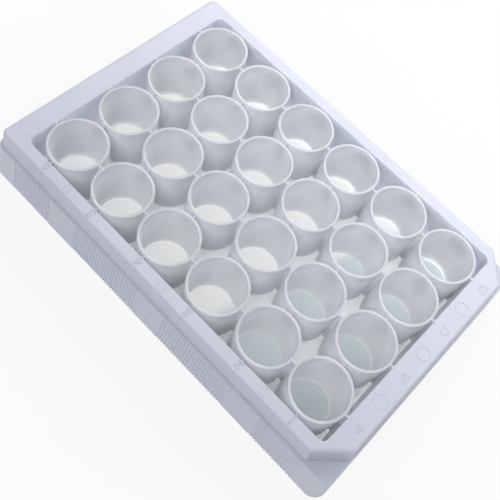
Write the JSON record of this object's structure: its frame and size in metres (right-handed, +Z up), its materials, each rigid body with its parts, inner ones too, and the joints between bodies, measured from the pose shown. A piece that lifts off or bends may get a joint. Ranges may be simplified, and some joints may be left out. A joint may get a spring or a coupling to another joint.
{
  "type": "well plate",
  "caption": "Rectangular lab well plate: an opaque white moulded grid of round open wells in a flared, stepped frame, closed below by a flat clear base.",
  "frame": {"origin": "middle of the footprint, on the plane that the skirt's foot stands on", "axes": "+X along the long side, from column 1 with the chamfered corners to column 6; +Y from row D to row A; +Z up, out of the open wells"},
  "size_m": [0.1278, 0.0854, 0.0186],
  "materials": {
    "white_polystyrene": "opaque white moulded polystyrene with a fine satin skin",
    "clear_polystyrene": "clear flat polystyrene sheet, glossy on both faces"
  },
  "bodies": {
    "root": {"plate_body": "white_polystyrene", "clear_base": "clear_polystyrene"}
  },
  "joints": []
}
